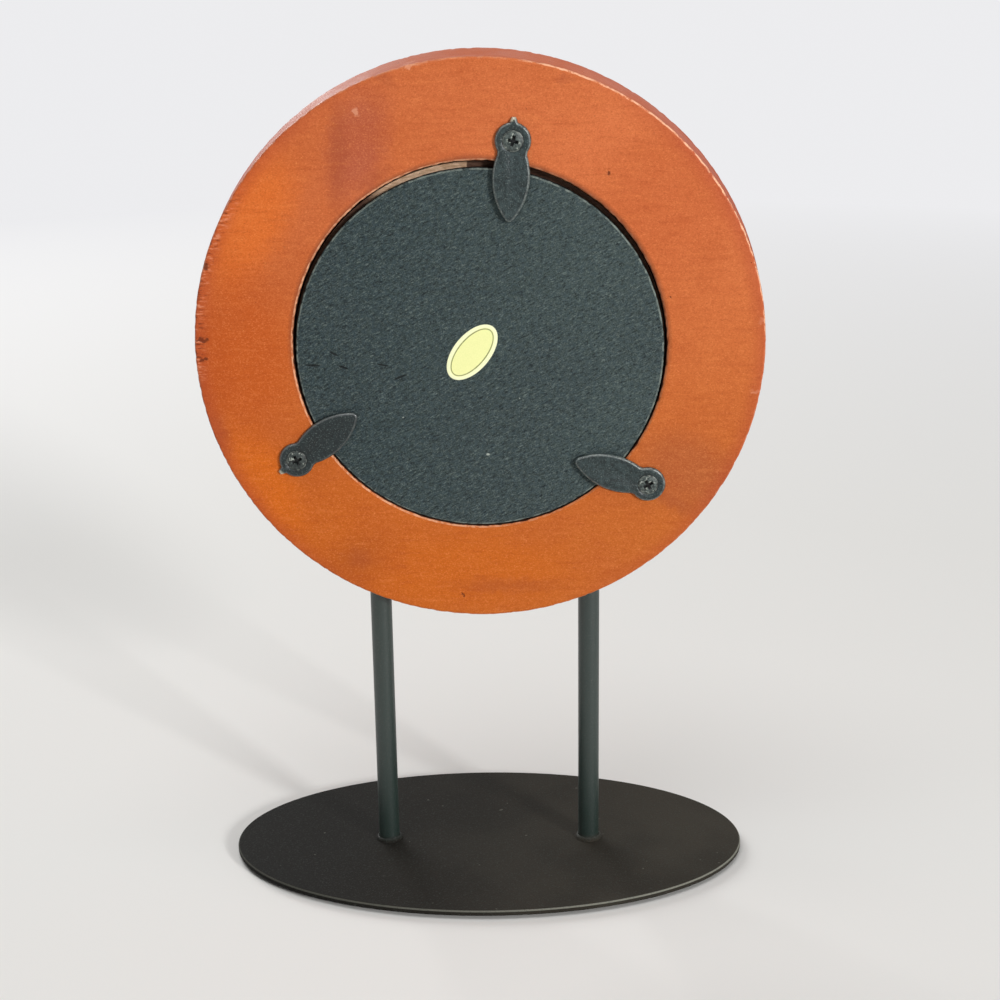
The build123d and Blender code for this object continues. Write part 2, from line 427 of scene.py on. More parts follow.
def bumped(tree, shader, height, depth_mm):
    sockets = {"Height": height, "Distance": depth_mm / 1000, "Strength": 1.0}
    bump = put(tree, "ShaderNodeBump", sockets)
    tree.links.new(bump.outputs[0], shader.inputs["Normal"])


wood_finish, tree, shader = new_finish("stained_wood_finish")
where = millimetres(tree)
level_grain = millimetres(tree, stretch=(7, 1, 1))
x, y, z = axes(tree, where)
wander = put(tree, "ShaderNodeTexNoise", {"Vector": where, "Scale": 0.5, "Detail": 3}).outputs[1]
wander = vectors(tree, "SUBTRACT", wander, (0.5, 0.5, 0.5))
ragged = vectors(tree, "ADD", where, scaled(tree, wander, 4.0))
# The stain is painted lighter towards −X, the side the back lamp lights, as painted light,
# and paler and pinker towards the top, as a painted sheen.
low_painted_light_tone = blend(tree, fade(tree, x, -60, 60), paint(197, 104, 40), paint(196, 97, 26))
top_painted_light_tone = blend(tree, fade(tree, x, -60, 60), paint(213, 115, 66), paint(201, 105, 58))
colour = blend(tree, fade(tree, z, -50, 45), low_painted_light_tone, top_painted_light_tone)
for across, up, length, width, tilt, tone, strength in (
    (55, 32, 26, 13, 120, (224, 112, 40), 0.75), (56, -32, 24, 11, 60, (216, 106, 18), 0.75),
    (28, 50, 19, 10, 105, (176, 90, 66), 0.75), (-52, -32, 20, 13, 30, (172, 92, 52), 0.65),
    (32, -56, 16, 10, -30, (174, 84, 26), 0.55), (66, -4, 20, 7, 90, (178, 80, 34), 0.5),
    (-30, 50, 16, 9, -30, (222, 122, 74), 0.3), (58, 0, 30, 18, 90, (194, 84, 18), 0.6),
    (-48, 38, 34, 22, 130, (192, 92, 46), 0.45), (4, -58, 40, 14, 0, (206, 102, 18), 0.5),
):
    mark = patch(tree, ragged, across, up, length, width, tilt)
    colour = tinted(tree, colour, (mark, 0, 0.7, strength, tone))
cloudy = fade(tree, grain(tree, where, 0.05, 4.0, 0.6), 0.4, 0.7)
colour = blend(tree, product(tree, cloudy, 0.3), colour, paint(184, 88, 40))
fine_level = grain(tree, level_grain, 0.8, 5.0, 0.6)
speckle = grain(tree, millimetres(tree, stretch=(1.3, 1, 1)), 3.4, 4.0, 0.75)
colour = tinted(
    tree, colour, (fine_level, 0.5, 0.75, 0.35, (170, 72, 28)),
    (fine_level, 0.47, 0.25, 0.25, (234, 138, 76)), (speckle, 0.5, 0.7, 0.5, (158, 62, 26)),
    (speckle, 0.48, 0.3, 0.45, (240, 152, 96)),
)

streaks = marks(
    tree, ragged, (33, 46, 26, 4, 92), (22, 66, 7, 2.5, 40), (65.1, -21.3, 9, 4, 80),
    (31.4, -54.7, 6, 5), (2.2, 46.8, 9, 1.4, 5), (-20.8, 64.8, 3, 2), (36, 62, 6, 4, 130),
    (-6, -62, 22, 3), (-48, -40, 12, 3, 30), (24, 42, 8, 2, 150),
)
lights = marks(
    tree, ragged, (28.2, 57.5, 1.4, 0.7, 60), (15.1, 68.2, 3, 0.7, -12), (-69.2, 6, 1.6, 0.5),
    (-67.8, -11.6, 1.5, 0.8),
)
colour = tinted(
    tree, colour, (streaks, 0, 0.9, 0.28, (146, 66, 44)), (lights, 0, 0.6, 0.45, (240, 176, 140))
)

# Towards its rim the back is darker. The wall round it is duller, and where the grain ends at the
# left, its fibres are torn.
out = distance_out(tree, where)
rim = fade(tree, out, back_radius - 5, back_radius + 1)
rim = product(tree, rim, fade(tree, maths(tree, "ABSOLUTE", x), 15, 60))
colour = blend(tree, product(tree, rim, 0.5), colour, paint(170, 66, 44))
wall = fade(tree, out, back_radius - 0.7, back_radius - 0.3)
wall = product(tree, wall, fade(tree, y, half_thickness - 0.4, half_thickness - 0.9))
colour = blend(tree, product(tree, wall, 0.5), colour, paint(168, 76, 46))
torn_up, torn_reach, torn_fade = 16, 18, 8
off_torn = maths(tree, "ABSOLUTE", maths(tree, "SUBTRACT", z, torn_up))
torn = product(
    tree, fade(tree, out, back_radius - 3.4, back_radius - 0.6), fade(tree, x, 50, 60),
    fade(tree, off_torn, torn_reach + torn_fade, torn_reach),
    fade(tree, y, half_thickness - 4, half_thickness - 1),
)
end_grain = grain(tree, millimetres(tree, stretch=(4, 3, 1)), 1.5, 3.0, 0.6)
pale_ends = product(tree, fade(tree, end_grain, 0.52, 0.66), torn)
colour = blend(tree, product(tree, pale_ends, 0.6), colour, paint(238, 160, 122))
dark_ends = maths(tree, "ADD", torn, product(tree, rim, 0.25))
dark_ends = product(tree, fade(tree, end_grain, 0.44, 0.34), dark_ends)
cracks = marks(
    tree, ragged, (63.7, 34.3, 3, 0.7), (65.8, 26.9, 2.5, 0.7), (66.9, 21.3, 3, 0.7),
    (68.5, 3, 2.5, 0.6), (68.4, -2.3, 1.2, 0.9), (-31.2, 42.3, 0.7, 0.6), (5.4, -64.5, 0.5, 0.4),
    (-46, 12, 0.4, 0.3),
)
cracks = maths(tree, "MAXIMUM", fade(tree, cracks, 0.05, 0.5), product(tree, dark_ends, 0.7))
colour = blend(tree, product(tree, cracks, 0.75), colour, paint(88, 34, 18))

pits = fade(tree, grain(tree, where, 0.8, 2.0), 0.73, 0.78)
colour = blend(tree, product(tree, pits, 0.75), colour, paint(104, 44, 22))
sparks = grain(tree, vectors(tree, "ADD", where, (40, 0, 9)), 1.6, 1.0)
colour = tinted(tree, colour, (sparks, 0.7, 0.8, 0.35, (240, 168, 96)))

# The arris round the back wears pale here and there. Towards the upper right, where the lamp
# lights it, it is painted paler still, as a painted highlight.
toward = vectors(tree, "MULTIPLY", where, (-0.75 / back_radius, 0, 0.66 / back_radius))
toward = put(tree, "ShaderNodeVectorMath", {0: toward, 1: (1, 1, 1)}, operation="DOT_PRODUCT")
rubbed_and_lit = product(
    tree, fade(tree, toward.outputs["Value"], 0.72, 0.84, 0.2, 1),
    fade(tree, grain(tree, where, 0.5, 5.0, 0.7), 0.38, 0.56),
    fade(tree, out, back_radius - 0.5, back_radius - 0.35),
    fade(tree, y, half_thickness - 1.2, half_thickness - 0.8),
    fade(tree, y, half_thickness - 0.1, half_thickness - 0.2),
)
colour = blend(tree, rubbed_and_lit, colour, paint(246, 188, 150))

# The rabbet is painted dark brown, as painted shade in the narrow gap round the board. Its edge is
# painted darker towards the top, as painted shade, and is pale at the left.
in_rabbet = product(
    tree, fade(tree, out, rabbet_radius + 0.4, rabbet_radius + 0.2),
    fade(tree, y, rabbet_floor - 0.4, rabbet_floor - 0.1),
    fade(tree, y, half_thickness - 0.38, half_thickness - 0.5),
)
rabbet_painted_shade = blend(tree, fade(tree, fine_level, 0.4, 0.6), paint(58, 30, 20), paint(88, 50, 34))
colour = blend(tree, in_rabbet, colour, rabbet_painted_shade)
# A soft dark band on the opening's edge, darker towards the top: painted shade.
top_edge_painted_shade = product(
    tree, fade(tree, out, rabbet_radius + 1.65, rabbet_radius + rabbet_chamfer),
    fade(tree, y, half_thickness - 0.6, half_thickness - 0.4), fade(tree, z, -25, 15, 0, 0.45),
)
colour = blend(tree, top_edge_painted_shade, colour, paint(92, 50, 38))
# The bevel is bare pale wood, painted paler towards +X, where its slope faces the lamp:
# partly wear, partly painted light.
bevel = product(
    tree, fade(tree, out, rabbet_radius + 0.55, rabbet_radius + 0.43),
    fade(tree, y, half_thickness - 0.52, half_thickness - 0.4), fade(tree, x, -22, 12, 0.3, 1),
    fade(tree, grain(tree, where, 0.9, 4.0), 0.35, 0.6, 0.15, 0.85),
)
colour = blend(tree, bevel, colour, paint(230, 170, 132))
coat(
    tree, shader, Base_Color=colour,
    Roughness=fade(tree, grain(tree, where, 0.12, 4.0), 0.3, 0.7, 0.38, 0.5),
    Specular_IOR_Level=maths(tree, "SUBTRACT", 0.15, product(tree, wall, 0.1)),
)
relief = maths(tree, "ADD", product(tree, fine_level, 0.6), product(tree, speckle, 0.5))
relief = maths(tree, "SUBTRACT", relief, maths(tree, "ADD", product(tree, cracks, 1.5), pits))
bumped(tree, shader, relief, 0.08)

ring_section = rounded([
    (rabbet_radius, half_thickness - rabbet_chamfer, crisp_round),
    (rabbet_radius + rabbet_chamfer, half_thickness, broken_round),
    (back_radius, half_thickness, back_round),
    (front_radius, -half_thickness, front_round),
    (sight_radius, -half_thickness, sight_round),
    (sight_radius, rabbet_floor, broken_round),
    (rabbet_radius, rabbet_floor, crisp_round),
])

ring, given = new_shape(
    "drilled_ring", **lathe_sizes, Middle=(0.0, 0.0, 1.0), Rod_Hole=1.0, Rod_Spread=1.0,
    Rod_Hole_Top=1.0, Pilot_Hole=1.0, Pilot_Hole_End=0.0,
    Top_Screw=(0.0, 0.0, 1.0), Left_Screw=(0.0, 0.0, 1.0), Right_Screw=(0.0, 0.0, 1.0), Finish="",
)
drills = []
pilot = {"Vertices": 32, "Radius": given["Pilot Hole"], "Depth": pilot_drill_length}
pilot = put(ring, "GeometryNodeMeshCylinder", pilot).outputs[0]
pilot_up = maths(ring, "ADD", given["Pilot Hole End"], pilot_drill_length / 2)
for side in ("Top", "Left", "Right"):
    by = vectors(ring, "ADD", given[side + " Screw"], vector(ring, z=pilot_up))
    drills.append(moved(ring, pilot, by))
turned = cut(ring, on_lathe(ring, given), *drills)
turned = moved(ring, turned, given["Middle"], facing_back)
drill = {"Vertices": 64, "Radius": given["Rod Hole"], "Depth": rod_drill_length}
drill = put(ring, "GeometryNodeMeshCylinder", drill).outputs[0]
drill_up = maths(ring, "SUBTRACT", given["Rod Hole Top"], rod_drill_length / 2)
drills = []
for side in (-0.5, 0.5):
    across = product(ring, given["Rod Spread"], side)
    drills.append(moved(ring, drill, vector(ring, across, 0.0, drill_up)))
finished(ring, cut(ring, turned, *drills), given["Finish"])

made(
    ring, "turned_wood_ring", turned_blank("ring_section", ring_section),
    "frame_body", "stained_wood", "wood_ring",
    Steps=640, Wear=0.16, Chip_Size=1.7, Uneven=0.05, Wave_Size=14.0, Middle=ring_middle,
    Rod_Hole=rod_hole_radius, Rod_Spread=rod_spread, Rod_Hole_Top=rod_hole_top,
    Pilot_Hole=pilot_hole_radius, Pilot_Hole_End=pilot_hole_end,
    Top_Screw=(*screw_places["top"], 0.0), Left_Screw=(*screw_places["left"], 0.0),
    Right_Screw=(*screw_places["right"], 0.0), Finish=wood_finish,
)


# Behind the ring's lip lie a round pane of float glass, a round print on white paper and a round of
# light card. The card's back is painted dark as painted shade in the gap, except for one patch at
# the upper left where light reaches it. All three are cut a little small.

pane_radius, pane_middle = 45.25, (0.0, 0.0, 139.5)
card_back = 4.3

glass_finish, tree, shader = new_finish("clear_glass_finish")
smudges = fade(tree, grain(tree, millimetres(tree), 0.06, 5.0, 0.6), 0.45, 0.75, 0.015, 0.09)
out = distance_out(tree, millimetres(tree, pane_middle))
ends = fade(tree, out, pane_radius - 0.4, pane_radius - 0.1)
glancing = put(tree, "ShaderNodeFresnel", {"IOR": 1.45}).outputs[0]
glancing = fade(tree, glancing, 0, 1, 0.09, 1)
clouded = maths(tree, "ADD", fade(tree, smudges, 0.02, 0.09, 0, 0.03), glancing)
coat(
    tree, shader, Base_Color=blend(tree, ends, paint(14, 18, 17), paint(150, 196, 178)),
    Roughness=smudges, Alpha=maths(tree, "MAXIMUM", clouded, ends), Specular_IOR_Level=1,
)


def recoat(node, finish):
    """Puts a new finish on a piece whose plain shape is kept."""
    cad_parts[node].data.materials.clear()
    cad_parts[node].data.materials.append(finish)


recoat("glass_pane", glass_finish)

print_finish, tree, shader = new_finish("photo_paper_finish")
where = millimetres(tree, pane_middle)
_, _, z = axes(tree, where)
picture = blend(tree, fade(tree, z, -6, 40), paint(234, 226, 206), paint(150, 184, 206))
clouds = grain(tree, millimetres(tree, pane_middle, (3, 1, 1)), 0.12, 5.0, 0.6)
clouds = product(tree, fade(tree, clouds, 0.5, 0.68), fade(tree, z, 0, 18))
picture = blend(tree, clouds, picture, paint(244, 242, 236))
hill_rise = 16
for level_up, roll, softness, tone in (
    (2.0, 0.045, 0.5, (148, 164, 164)), (-6.0, 0.03, 0.4, (112, 138, 116)),
    (-15.0, 0.02, 0.5, (134, 144, 84)),
):
    rolling = grain(tree, vectors(tree, "MULTIPLY", where, (1, 0, 0)), roll, 3.0)
    rise = maths(tree, "ADD", product(tree, rolling, hill_rise), level_up - hill_rise / 2)
    line = maths(tree, "SUBTRACT", z, rise)
    leaves = blend(tree, grain(tree, where, 0.6, 4.0), paint(*tone), paint(*[v - 34 for v in tone]))
    picture = blend(tree, fade(tree, line, softness, -softness), picture, leaves)
satin = fade(tree, grain(tree, where, 0.8), 0.3, 0.7, 0.3, 0.4)
coat(tree, shader, Base_Color=picture, Roughness=satin)
recoat("photo_print", print_finish)

card_finish, tree, shader = new_finish("light_card_finish")
where = millimetres(tree)
fibres = grain(tree, millimetres(tree, stretch=(4, 1, 1)), 2.2, 4.0, 0.7)
specks = fade(tree, grain(tree, where, 1.4, 2.0), 0.68, 0.75)
x, y, z = axes(tree, where)
plies = fade(tree, maths(tree, "SINE", product(tree, y, 14)), -0.4, 0.6)
core = blend(tree, fade(tree, fibres, 0.3, 0.7), paint(232, 198, 168), paint(176, 140, 108))
core = blend(tree, product(tree, plies, 0.25), core, paint(214, 190, 152))
core = blend(tree, specks, core, paint(120, 94, 66))
# The dark brown is painted shade on the card's back; the patch at the upper left stays light.
card_painted_shade = blend(tree, fade(tree, fibres, 0.3, 0.7), paint(72, 48, 38), paint(100, 74, 60))
unshaded_patch = product(tree, fade(tree, x, 1.6, 3.4), fade(tree, x, 36, 12), fade(tree, z, 20, 30))
unshaded_patch = fade(tree, maths(tree, "ADD", unshaded_patch, product(tree, fibres, 0.5)), 0.55, 0.85)
card_shade_mask = fade(tree, y, card_back - 0.1, card_back - 0.02)
card_shade_mask = product(tree, card_shade_mask, maths(tree, "SUBTRACT", 1, unshaded_patch))
coat(
    tree, shader, Base_Color=blend(tree, card_shade_mask, core, card_painted_shade), Roughness=0.9, Specular_IOR_Level=0.2
)
bumped(tree, shader, fibres, 0.05)
recoat("filler_card", card_finish)


# The backing board is a round of coarse hardboard with its rim broken by a small bevel, painted
# thin matte black, so that its fibres still show. It lies loose in the rabbet, under the buttons.

board_radius, board_high, board_middle = 45.25, 44.9, (0.0, 0.0, 139.15)
board_front, board_back, board_chamfer = card_back, 6.8, 0.3
board_round, board_front_round = 0.08, 0.1
fibre_rise = 27.0

board_finish, tree, shader = new_finish("black_hardboard_finish")
where = millimetres(tree)
slant = (0, math.radians(fibre_rise), 0)
strands = grain(tree, millimetres(tree, stretch=(3.6, 1, 1), turn=slant), 2.2, 4.0, 0.7)
hairs = grain(tree, millimetres(tree, stretch=(5, 1, 1), turn=slant), 3.6, 2.0, 0.6)
fleck = grain(tree, where, 3.0, 3.0, 0.7)
tinge = grain(tree, vectors(tree, "ADD", where, (0, 0, 30)), 0.9, 3.0)
x, y, _ = axes(tree, where)
# The board is painted lighter towards −X, the side the back lamp lights, as painted light.
colour = blend(tree, fade(tree, x, -45, 45), paint(68, 80, 78), paint(50, 62, 62))
cloudy = grain(tree, where, 0.05, 3.0)
colour = tinted(
    tree, colour, (cloudy, 0.4, 0.7, 0.5, (56, 66, 66)), (tinge, 0.35, 0.65, 0.35, (56, 74, 84)),
    (strands, 0.48, 0.7, 0.9, (24, 30, 32)), (strands, 0.46, 0.28, 0.75, (104, 118, 114)),
    (fleck, 0.52, 0.7, 0.7, (22, 28, 30)), (fleck, 0.46, 0.3, 0.55, (116, 128, 124)),
    (hairs, 0.62, 0.76, 0.45, (136, 148, 142)),
)
painted_side = (board_back, 3)
scores = marks(
    tree, where, (41.2, -3.9, 2.4, 0.4), (33.7, -4.5, 1.8, 0.4, 20), (19.8, -7.1, 2.2, 0.4, -20),
    (36, -1, 1.6, 0.4, 30), (24, -4, 2, 0.3, 10), deep=painted_side,
)
scores = fade(tree, scores, 0.05, 0.5)
colour = blend(tree, product(tree, scores, 0.85), colour, paint(14, 17, 18))
specks = fade(tree, patch(tree, where, -1.6, -27.2, 0.6, 0.4, deep=painted_side), 0, 0.6)
specks = maths(tree, "MAXIMUM", specks, fade(tree, grain(tree, where, 0.9, 1.0), 0.8, 0.84))
colour = blend(tree, specks, colour, paint(168, 176, 168))
edge = put(tree, "ShaderNodeAttribute", attribute_name="edge").outputs["Fac"]
# The bevelled rim is painted pale in places, partly wear through the paint and partly a painted
# highlight.
rubbed_and_lit = fade(tree, grain(tree, where, 0.5, 4.0, 0.7), 0.38, 0.6, 0, 0.8)
rubbed_and_lit = product(tree, rubbed_and_lit, fade(tree, edge, 0.8, 1))
colour = blend(tree, rubbed_and_lit, colour, paint(140, 150, 142))
# The board's side under its bevel is painted near black, as painted shade.
side_painted_shade = fade(tree, y, board_back - board_chamfer, board_back - board_chamfer - 0.15)
colour = blend(tree, side_painted_shade, colour, paint(12, 13, 14))
matte = fade(tree, strands, 0.3, 0.7, 0.62, 0.8)
coat(tree, shader, Base_Color=colour, Roughness=matte, Specular_IOR_Level=0.2)
relief = maths(tree, "ADD", strands, product(tree, fleck, 0.8))
relief = maths(tree, "ADD", relief, product(tree, hairs, 0.5))
bumped(tree, shader, maths(tree, "SUBTRACT", relief, scores), 0.1)

board_section = rounded([
    (0.0, board_back, 0.0),
    (board_radius - board_chamfer, board_back, board_round),
    (board_radius, board_back - board_chamfer, board_round),
    (board_radius, board_front, board_front_round),
    (0.0, board_front, 0.0),
], closed=False)

round_board, given = new_shape(
    "round_board", **lathe_sizes, Height_Share=1.0, Middle=(0.0, 0.0, 1.0), Finish="",
)
lower = vector(round_board, 1.0, given["Height Share"], 1.0)
disc = moved(round_board, on_lathe(round_board, given), scale=lower)
disc = moved(round_board, disc, given["Middle"], facing_back)
finished(round_board, disc, given["Finish"])

made(
    round_board, "painted_hardboard", turned_blank("board_section", board_section),
    "frame_body", "black_hardboard", "backing_board",
    Steps=480, Wear=0.12, Chip_Size=0.9, Uneven=0.06, Wave_Size=7.0,
    Height_Share=board_high / board_radius, Middle=board_middle, Finish=board_finish,
)


# The sticker is an oval of thin yellow paper, stuck on the middle of the board at a slant. It is
# left blank inside its thin olive line.

sticker_middle, sticker_tilt = (1.9, 6.8, 139.0), 50.0
sticker_length, sticker_width, sticker_thickness = 16.5, 9.0, 0.12
line_inset, line_width = 1.0, 0.3
sticker_steps = 96
sticker_section = ((0, 1), (0.5, 1), (0.93, 1), (0.985, 0.97), (1, 0.8), (1, 0), (0, 0))

sticker_finish, tree, shader = new_finish("sticker_paper_finish")
slant = (0, math.radians(sticker_tilt), 0)
where = millimetres(tree, sticker_middle, turn=slant)


def oval_reach(tree, where, inset):
    """How far out a place is in the sticker's oval, 1 being a line that far inside its rim."""
    half = (sticker_length / 2 - inset, 1e6, sticker_width / 2 - inset)
    return how_far(tree, vectors(tree, "DIVIDE", where, half))


outer = oval_reach(tree, where, line_inset)
inner = oval_reach(tree, where, line_inset + line_width)
line = product(tree, fade(tree, outer, 1.01, 0.98), fade(tree, inner, 0.99, 1.02))
fibres = grain(tree, where, 3.0, 4.0, 0.7)
colour = blend(tree, fade(tree, fibres, 0.3, 0.7), paint(250, 250, 178), paint(243, 245, 168))
colour = blend(tree, fade(tree, outer, 1.0, 1.04), colour, paint(250, 252, 206))
printed = product(tree, line, fade(tree, grain(tree, where, 2.5, 3.0), 0.25, 0.45, 0.55, 0.9))
colour = blend(tree, printed, colour, paint(104, 112, 62))
coat(tree, shader, Base_Color=colour, Roughness=fade(tree, fibres, 0.3, 0.7, 0.5, 0.62))
bumped(tree, shader, fibres, 0.02)

oval = bmesh.new()
rings = []
turn = Matrix.Rotation(math.radians(sticker_tilt), 3, "Y")
for share, back in sticker_section:
    ring_points = []
    for k in range(sticker_steps):
        angle = k / sticker_steps * math.tau
        flat = Vector((
            math.cos(angle) * share * sticker_length / 2, back * sticker_thickness,
            math.sin(angle) * share * sticker_width / 2,
        ))
        ring_points.append(oval.verts.new((Vector(sticker_middle) + turn @ flat) / 1000))
    rings.append(ring_points)
for one, two in zip(rings, rings[1:]):
    for k in range(sticker_steps):
        oval.faces.new((one[k], one[k - 1], two[k - 1], two[k]))
sticker_mesh = bpy.data.meshes.new("sticker_shape")
oval.to_mesh(sticker_mesh)
oval.free()
sticker_mesh.materials.append(sticker_finish)
sticker = bpy.data.objects.new("blank_oval_sticker", sticker_mesh)
bpy.context.scene.collection.objects.link(sticker)
joined(sticker, "frame_body", "oval_sticker")


# Three turn buttons keep the board in. Each is stamped from sheet steel, with a round head, a neck
# and a leaf-shaped blade, and painted black. Two keep the stub of the tab that held them together.

button_lift, button_thickness = 7.6, 1.0
head_radius, half_neck, neck_reach, half_blade, blade_reach = 4.35, 3.6, 3.4, 4.5, 19.9
belly_reach, tip_round, waist_round = 9.293, 1.2, 1.2
edge_round, under_round = 0.62, 0.08
tab_half, tab_tip, tab_reach = 1.0, 0.5, 5.55
hole_narrow, hole_wide = 1.56, 2.76
headings = {"top": -93.5, "left": 37.1, "right": 160.8}
stub_places = ((-8.4, 56.0), (50.7, -31.3))

button_finish, tree, shader = new_finish("black_sheet_metal_finish")
where = millimetres(tree)
lumps = grain(tree, where, 1.1, 3.0, 0.6)
peel = grain(tree, where, 3.0, 2.0, 0.55)
x, _, _ = axes(tree, where)
colour = blend(tree, fade(tree, lumps, 0.35, 0.65), paint(28, 39, 40), paint(48, 62, 63))
# The left button, at +X, is painted darker, as painted shade.
colour = tinted(
    tree, colour, (x, 15, 30, 0.7, (17, 26, 28)), (peel, 0.56, 0.72, 0.7, (98, 110, 106)),
    (peel, 0.44, 0.3, 0.7, (16, 20, 21)),
)
edge = put(tree, "ShaderNodeAttribute", attribute_name="edge").outputs["Fac"]
# The rolled edges are painted pale in spots, partly chipped paint and partly a painted highlight,
# less so on the left button.
edge_wear_and_highlight = fade(tree, grain(tree, where, 1.3, 4.0, 0.7), 0.42, 0.6)
edge_wear_and_highlight = product(tree, fade(tree, edge, 0.5, 1), edge_wear_and_highlight, fade(tree, x, 15, 30, 0.35, 0.12))
colour = blend(tree, edge_wear_and_highlight, colour, paint(172, 182, 174))
for across, up in stub_places:
    stub = patch(tree, where, across, up, 1.7, 1.4, 0, (button_lift + 0.6, 3))
    colour = tinted(tree, colour, (stub, 0.1, 0.6, 0.85, (196, 194, 172)))
coat(
    tree, shader, Base_Color=colour, Roughness=fade(tree, lumps, 0.3, 0.7, 0.28, 0.4),
    Specular_IOR_Level=fade(tree, edge, 0.2, 0.8, 0.42, 1),
)
bumped(tree, shader, maths(tree, "ADD", lumps, product(tree, peel, 0.5)), 0.12)


def arc(hub, start, end, count):
    """Points on a short arc round a hub, without its last point."""
    first, last = Vector(start) - hub, Vector(end) - hub
    swing = first.angle_signed(last)
    return [hub + Matrix.Rotation(-swing * k / count, 2) @ first for k in range(count)]


def leaf_outline(with_tab):
    """Half a button from its tip to its tab, counterclockwise, and then the other half."""
    a, b = belly_reach - neck_reach, half_blade - half_neck
    c, d = blade_reach - neck_reach, -half_neck
    turn = 2 * (a * d - b * c)
    swell = Vector((
        neck_reach + (d * (a * a + b * b) - b * (c * c + d * d)) / turn,
        half_neck + (a * (c * c + d * d) - c * (a * a + b * b)) / turn,
    ))
    radius = (swell - Vector((neck_reach, half_neck))).length
    tip_hub = Vector((swell.x + math.sqrt((radius - tip_round) ** 2 - swell.y ** 2), 0))
    tip_end = swell + (tip_hub - swell) * radius / (radius - tip_round)
    waist_up = half_neck + waist_round
    waist_hub = Vector((math.sqrt((head_radius + waist_round) ** 2 - waist_up ** 2), waist_up))
    head_start = waist_hub * head_radius / (head_radius + waist_round)
    tab_start = Vector((-math.sqrt(head_radius ** 2 - tab_half ** 2), tab_half))
    half = arc(tip_hub, (tip_hub.x + tip_round, 0), tip_end, 6)
    half += arc(swell, tip_end, (neck_reach, half_neck), 26)
    half += [Vector((neck_reach, half_neck))]
    half += arc(waist_hub, (waist_hub.x, half_neck), head_start, 6)
    if with_tab:
        half += arc(Vector((0, 0)), head_start, tab_start, 20) + [tab_start]
        half += [Vector((-head_radius - 0.1, tab_half - 0.06))]
        half += [Vector((-tab_reach + 0.1, tab_tip + 0.02)), Vector((-tab_reach, tab_tip - 0.12))]
    else:
        half += arc(Vector((0, 0)), head_start, (-head_radius, 0.0), 22)
        half += [Vector((-head_radius, 0.0))]
    return half + [Vector((p.x, -p.y)) for p in half[:0:-1] if p.y]


def inset(points, distance):
    """An outline moved inwards all round."""
    moved_in = []
    for i, here in enumerate(points):
        one = (here - points[i - 1]).normalized()
        two = (points[(i + 1) % len(points)] - here).normalized()
        one, two = Vector((-one.y, one.x)), Vector((-two.y, two.x))
        moved_in.append(here + (one + two) * distance / (1 + one.dot(two)))
    return moved_in


def stamping(with_tab):
    """A flat button before its hole is sunk, with its upper edge rolled over by the stamp."""
    outline = leaf_outline(with_tab)
    flat = button_thickness - edge_round
    layers = [(under_round, 0.0, 0.5), (0.0, under_round, 0.5), (0.0, flat, 0.6)]
    for k, near in enumerate((0.9, 1, 1, 0.7, 0.3)):
        bend = math.radians(18 * (k + 1))
        layers.append((edge_round * (1 - math.cos(bend)), flat + edge_round * math.sin(bend), near))
    layers.append((edge_round + 0.1, button_thickness, 0.0))
    shape = bmesh.new()
    edge_mark = shape.verts.layers.float.new("edge")
    loops = []
    for distance, up, near in layers:
        loops.append([shape.verts.new((*p, up)) for p in inset(outline, distance)])
        for corner in loops[-1]:
            corner[edge_mark] = near
    for one, two in zip(loops, loops[1:]):
        for k in range(len(outline)):
            shape.faces.new((one[k - 1], one[k], two[k], two[k - 1]))
    shape.faces.new(loops[-1])
    shape.faces.new(loops[0][::-1])
    mesh = bpy.data.meshes.new("stamping")
    shape.to_mesh(mesh)
    shape.free()
    return mesh


button, given = new_shape(
    "stamped_button", Hole_Narrow=1.0, Hole_Wide=2.0, Thickness=1.0, Lift=0.0, Heading=0.0,
    Screw=(0.0, 0.0, 1.0), Middle=(0.0, 0.0, 1.0), Finish="",
)
taper = maths(button, "SUBTRACT", given["Hole Wide"], given["Hole Narrow"])
sink = put(button, "GeometryNodeMeshCone", {
    "Vertices": 64,
    "Radius Top": maths(button, "MULTIPLY_ADD", taper, 0.5, given["Hole Wide"]),
    "Radius Bottom": maths(button, "MULTIPLY_ADD", taper, -0.5, given["Hole Narrow"]),
    "Depth": product(button, given["Thickness"], 2),
}).outputs[0]
sink_down = vector(button, z=product(button, given["Thickness"], -0.5))


def set_on_back(tree, given, shape):
    """Turns a piece to its heading, sets it over its screw's place on the back and finishes it."""
    by = vectors(tree, "ADD", given["Screw"], vector(tree, z=given["Lift"]))
    shape = moved(tree, shape, by, vector(tree, z=given["Heading"]))
    finished(tree, moved(tree, shape, given["Middle"], facing_back), given["Finish"])


sunk = cut(button, given["Geometry"], moved(button, sink, sink_down))
set_on_back(button, given, sunk)

for side, place in screw_places.items():
    made(
        button, "leaf_turn_button_" + side, stamping(with_tab=side != "right"),
        "button_" + side, "black_sheet_metal", "turn_button_" + side,
        Hole_Narrow=hole_narrow, Hole_Wide=hole_wide, Thickness=button_thickness, Lift=button_lift,
        Heading=math.radians(headings[side]), Screw=(*place, 0.0), Middle=ring_middle,
        Finish=button_finish,
    )


# Each button turns on a countersunk wood screw with a low domed head and a cross recess. The steel
# is blackened. Its recess is painted near black as painted shade, its dome has painted glints, and
# its rim is painted brighter, partly wear from the driver and partly a painted highlight.

head_rim, head_low, head_crown, shank_radius = 2.56, 1.0, 1.45, 1.5
shank_top, shank_end, screw_end = -2.0, -7.0, -9.5
dome_steps, dome_share = 10, 0.96
cross_length, cross_width, cross_bottom = 3.4, 0.95, 0.55
wing_top, wing_bottom = 0.86, 0.3
recess_lit, recess_dark = 1.2, 0.95
cross_headings = {"top": 73.9, "left": -154.9, "right": -61.0}

